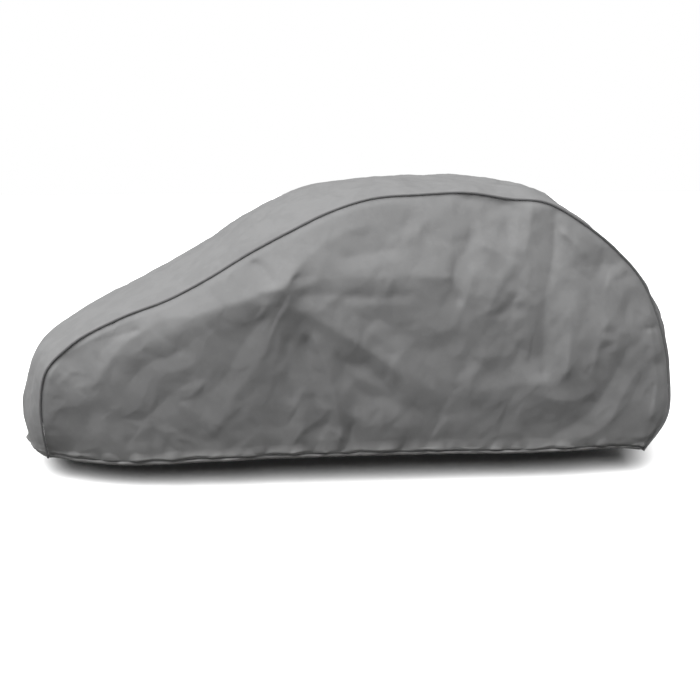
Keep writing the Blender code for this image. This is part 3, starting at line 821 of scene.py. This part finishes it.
class Finish(Nodes):
    def __init__(self, name):
        self.material = bpy.data.materials.new(name)
        self.material.use_nodes = True
        super().__init__(self.material.node_tree)
        self.shader = self.tree.nodes["Principled BSDF"]

    def set(self, **values):
        for key, value in values.items():
            self.feed(self.shader.inputs[key.replace("_", " ")], value)

    def noise(self, place, scale, detail=3.0, kind="FBM", roughness=0.5):
        return self.node("ShaderNodeTexNoise", {"noise_type": kind},
                         {"Vector": place, "Scale": scale, "Detail": detail, "Roughness": roughness})

    def blend(self, share, first, second):
        return self.node("ShaderNodeMix", {"data_type": "RGBA"}, {0: share, 6: first, 7: second}, output=2)

    def range(self, value, low, high, start=0.0, end=1.0):
        return self.node("ShaderNodeMapRange", {"interpolation_type": "SMOOTHSTEP"},
                         {0: value, 1: low, 2: high, 3: start, 4: end})

    def raised(self, height, distance, strength, under=None):
        sockets = {"Height": height, "Distance": distance, "Strength": strength}
        if under:
            sockets["Normal"] = under
        return self.node("ShaderNodeBump", {}, sockets)


coverCloth = {  # patch, mottle, fibre and the crinkles: scale and detail of the noise
    "dark": (0.338, 0.338, 0.340, 1.0),
    "light": (0.402, 0.402, 0.404, 1.0),
    # painted shade: the cloth is darkened towards the bottom; its tone, the heights in the frame where it
    # begins and where it is full, and how much the mottle moves and varies it
    "paintedShade": (0.300, 0.298, 0.292, 1.0),
    "paintedShadeTo": (-1.02, -1.40),
    "paintedShadeWander": 0.20,
    "paintedShadeLeast": 0.30,
    "paintedShadeMottle": 0.5,
    "patch": (7.0, 5.0),
    "patchRoughness": 0.62,
    "patchEdges": (0.44, 0.56),
    "mottle": (34.0, 4.0),
    "fibre": (900.0, 2.0),
    "dotScale": 380.0,
    "dotEdges": (0.10, 0.34),
    "crinkle": (9.0, 3.0),
    "crinkleHeight": (0.0030, 0.5),
    "fineCrinkle": (27.0, 3.0),
    "fineCrinkleHeight": (0.0010, 0.5),
    "toneLeast": 0.05,
    "toneOf": {"patch": 0.34, "mottle": 0.36, "fibre": 0.30, "dent": 0.10},
    "grainOf": {"fibre": 0.6, "dent": 0.8},
    "grainHeight": (0.0005, 0.3),
    "roughness": 0.80,
    "roughnessOf": {"mottle": 0.08, "dent": 0.04},
    "shine": 0.3,
}


def clothFinish(name, look):
    finish = Finish(name)
    place = finish.node("ShaderNodeTexCoord", output=3)
    height = finish.node("ShaderNodeSeparateXYZ", {}, {0: place}, output=2)
    patches = finish.noise(place, *look["patch"], roughness=look["patchRoughness"])
    patch = finish.range(patches, *look["patchEdges"])
    mottle = finish.noise(place, *look["mottle"])
    fibre = finish.noise(place, *look["fibre"])
    dots = finish.node("ShaderNodeTexVoronoi", {}, {"Vector": place, "Scale": look["dotScale"]})
    dent = finish.range(dots, *look["dotEdges"])
    part = look["toneOf"]
    light = patch * part["patch"] + mottle * part["mottle"] + fibre * part["fibre"] - dent * part["dent"]
    tone = finish.blend(light + look["toneLeast"], look["dark"], look["light"])
    # painted shade: the tone is made darker towards the bottom, unevenly with the mottle
    low = finish.range(height + mottle * look["paintedShadeWander"], *look["paintedShadeTo"])
    tone = finish.blend(low * (look["paintedShadeLeast"] + mottle * look["paintedShadeMottle"]), tone, look["paintedShade"])
    crinkle = finish.noise(place, *look["crinkle"], "RIDGED_MULTIFRACTAL")
    fine = finish.noise(place, *look["fineCrinkle"], "RIDGED_MULTIFRACTAL")
    folds = finish.raised(crinkle, *look["crinkleHeight"])
    folds = finish.raised(fine, *look["fineCrinkleHeight"], folds)
    part = look["grainOf"]
    bump = finish.raised(fibre * part["fibre"] + dent * part["dent"], *look["grainHeight"], folds)
    part = look["roughnessOf"]
    rough = look["roughness"] + mottle * part["mottle"] - dent * part["dent"]
    finish.set(Base_Color=tone, Roughness=rough, Normal=bump, Specular_IOR_Level=look["shine"])
    return finish.material


cordCloth = {
    "dark": (0.165, 0.165, 0.168, 1.0),
    "light": (0.250, 0.250, 0.253, 1.0),
    "worn": (0.310, 0.308, 0.302, 1.0),
    "wear": (38.0, 5.0),
    "wearEdges": (0.52, 0.72),
    "wearShare": 0.5,
    "fibreScale": 800.0,
    "threadsPerMetre": 620.0,
    "threadsPerScale": 6.3,
    "twill": {"Distortion": 1.2, "Detail": 1.0},
    "toneOf": {"fibre": 0.6, "twill": 0.4},
    "grainOf": {"twill": 0.7, "fibre": 0.5},
    "grainHeight": (0.0006, 0.5),
    "roughness": 0.74,
    "roughnessOfFibre": 0.10,
}


def cordFinish(name, look):
    finish = Finish(name)
    place = finish.node("ShaderNodeTexCoord", output=3)
    fibre = finish.noise(place, look["fibreScale"])
    scale = look["threadsPerMetre"] / look["threadsPerScale"]
    twill = finish.node("ShaderNodeTexWave", {"bands_direction": "DIAGONAL"},
                        {"Vector": place, "Scale": scale, **look["twill"]})
    wear = finish.range(finish.noise(place, *look["wear"]), *look["wearEdges"])
    part = look["toneOf"]
    tone = finish.blend(fibre * part["fibre"] + twill * part["twill"], look["dark"], look["light"])
    tone = finish.blend(wear * look["wearShare"], tone, look["worn"])
    part = look["grainOf"]
    bump = finish.raised(twill * part["twill"] + fibre * part["fibre"], *look["grainHeight"])
    rough = look["roughness"] + fibre * look["roughnessOfFibre"]
    finish.set(Base_Color=tone, Roughness=rough, Normal=bump)
    return finish.material


threadLook = {
    "dark": (0.200, 0.200, 0.203, 1.0),
    "light": (0.330, 0.330, 0.332, 1.0),
    "twist": {"Scale": 480.0, "Distortion": 2.0},
    "twistHeight": (0.0002, 0.6),
    "fibreScale": 1500.0,
    "toneOf": {"twist": 0.5, "fibre": 0.5},
    "roughness": 0.55,
    "roughnessOfFibre": 0.15,
}


def threadFinish(name, look):
    finish = Finish(name)
    place = finish.node("ShaderNodeTexCoord", output=3)
    twist = finish.node("ShaderNodeTexWave", {"bands_direction": "DIAGONAL"},
                        {"Vector": place, **look["twist"]})
    fibre = finish.noise(place, look["fibreScale"])
    part = look["toneOf"]
    tone = finish.blend(twist * part["twist"] + fibre * part["fibre"], look["dark"], look["light"])
    rough = look["roughness"] + fibre * look["roughnessOfFibre"]
    finish.set(Base_Color=tone, Roughness=rough, Normal=finish.raised(twist, *look["twistHeight"]))
    return finish.material


def floorFinish(name, look):
    finish = Finish(name)
    tone = look["floorTone"]
    finish.set(Base_Color=(tone, tone, tone, 1.0), Roughness=look["floorRoughness"], Specular_IOR_Level=0.0)
    return finish.material


greyCloth = clothFinish("greyCoverCloth", coverCloth)
darkCord = cordFinish("darkPiping", cordCloth)
seamThread = threadFinish("seamThread", threadLook)
seam, places = seamRows()
leftLine, rightLine = seamLine(seam, -1), seamLine(seam, 1)

surface = clearTop(topSurface(seam, places), leftLine, rightLine)
topPanel = gridMesh("topPanel", surface, greyCloth)
stitchRows("topStitches", topRows(surface), seamThread)
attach(topPanel, "root")
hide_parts("top_panel")
print("top panel made")

sides = (("left", -1, leftLine, leftCreases), ("right", 1, rightLine, rightCreases))
for name, side, line, creases in sides:
    surface = clearSide(sideSurface(seam, places, side, creases), line)
    panel = gridMesh("sidePanel" + name.capitalize(), surface, greyCloth, flip=side > 0)
    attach(panel, "root")
    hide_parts("side_panel_" + name)
    stitchRows("stitches" + name.capitalize(), sideRows(surface), seamThread)
    cord = cordAlong("piping" + name.capitalize(), line, darkCord)
    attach(cord, "root")
    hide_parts("piping_" + name)
    print(name, "side made")


studio = {
    "floorSize": 60.0,
    "floorTone": 0.92,
    "floorRoughness": 0.9,
    "sunStrength": 2.70,
    "sunSpread": math.radians(60.0),
    "sunFrom": (-0.36, -0.35, 1.0),
    "floorSunStrength": 6.0,
    "floorSunSpread": math.radians(36.0),
    "floorSunFrom": (-0.15, -1.0, 0.80),
    "skyTop": 0.30,
    "skySide": 0.075,
    "skyBelow": 0.05,
    "horizon": (-0.25, 0.02),
    "backdrop": 1.0,
}

mesh = bpy.data.meshes.new("studioFloor")
half = studio["floorSize"] / 2
ground = -cover["heldAt"][1]
mesh.from_pydata([(-half, -half, ground), (half, -half, ground), (half, half, ground), (-half, half, ground)],
                 [], [(0, 1, 2, 3)])
mesh.materials.append(floorFinish("paleFloor", studio))
floor = placed("studioFloor", mesh)
floor.visible_diffuse = False


def sunLamp(name, strength, spread, direction):
    sun = bpy.data.lights.new(name, "SUN")
    sun.energy = strength
    sun.angle = spread
    lamp = placed(name, sun)
    lamp.rotation_euler = Vector(direction).to_track_quat("Z", "Y").to_euler()
    return lamp


sunLamp("overheadLight", studio["sunStrength"], studio["sunSpread"], studio["sunFrom"])
floorLamp = sunLamp("floorLight", studio["floorSunStrength"], studio["floorSunSpread"],
                    studio["floorSunFrom"])
floorOnly = bpy.data.collections.new("litFloor")
floorOnly.objects.link(floor)
floorLamp.light_linking.receiver_collection = floorOnly

world = bpy.data.worlds.new("studioAir")
world.use_nodes = True
bpy.context.scene.world = world
air = Nodes(world.node_tree)
air.tree.nodes.clear()
direction = air.node("ShaderNodeTexCoord", output=0)
upward = air.node("ShaderNodeSeparateXYZ", {}, {0: direction}, output=2)
overhead = {0: upward, 1: 0.0, 2: 1.0, 3: studio["skySide"], 4: studio["skyTop"]}
above = air.node("ShaderNodeMapRange", {}, overhead)
lowest, highest = studio["horizon"]
below = air.node("ShaderNodeMapRange", {}, {0: upward, 1: lowest, 2: highest, 3: 0.0, 4: 1.0})
glow = above * below + (1 - below) * studio["skyBelow"]
seen = air.node("ShaderNodeLightPath")
strength = glow * (1 - seen) + seen * studio["backdrop"]
background = air.node("ShaderNodeBackground", {}, {0: (1.0, 1.0, 1.0, 1.0), 1: strength})
air.node("ShaderNodeOutputWorld", {}, {0: background}, output=None)
bpy.context.scene.view_settings.view_transform = "Standard"

view = {
    "place": (-0.92, -5.80, 0.185),
    "yaw": math.radians(5.8),
    "pitch": math.radians(11.4),
    "focalPixels": 1028.0,
    "imagePixels": 700.0,
    "sensorWidth": 36.0,
    "farthest": 200.0,
}
camera = bpy.data.cameras.new("photoCamera")
camera.sensor_width = view["sensorWidth"]
camera.lens = view["focalPixels"] / view["imagePixels"] * camera.sensor_width
camera.clip_end = view["farthest"]
viewer = placed("photoCamera", camera)
level = math.cos(view["pitch"])
ahead = Vector((math.sin(view["yaw"]) * level, math.cos(view["yaw"]) * level, -math.sin(view["pitch"])))
viewer.location = view["place"]
viewer.rotation_euler = (-ahead).to_track_quat("Z", "Y").to_euler()
bpy.context.scene.camera = viewer
print("stage made")
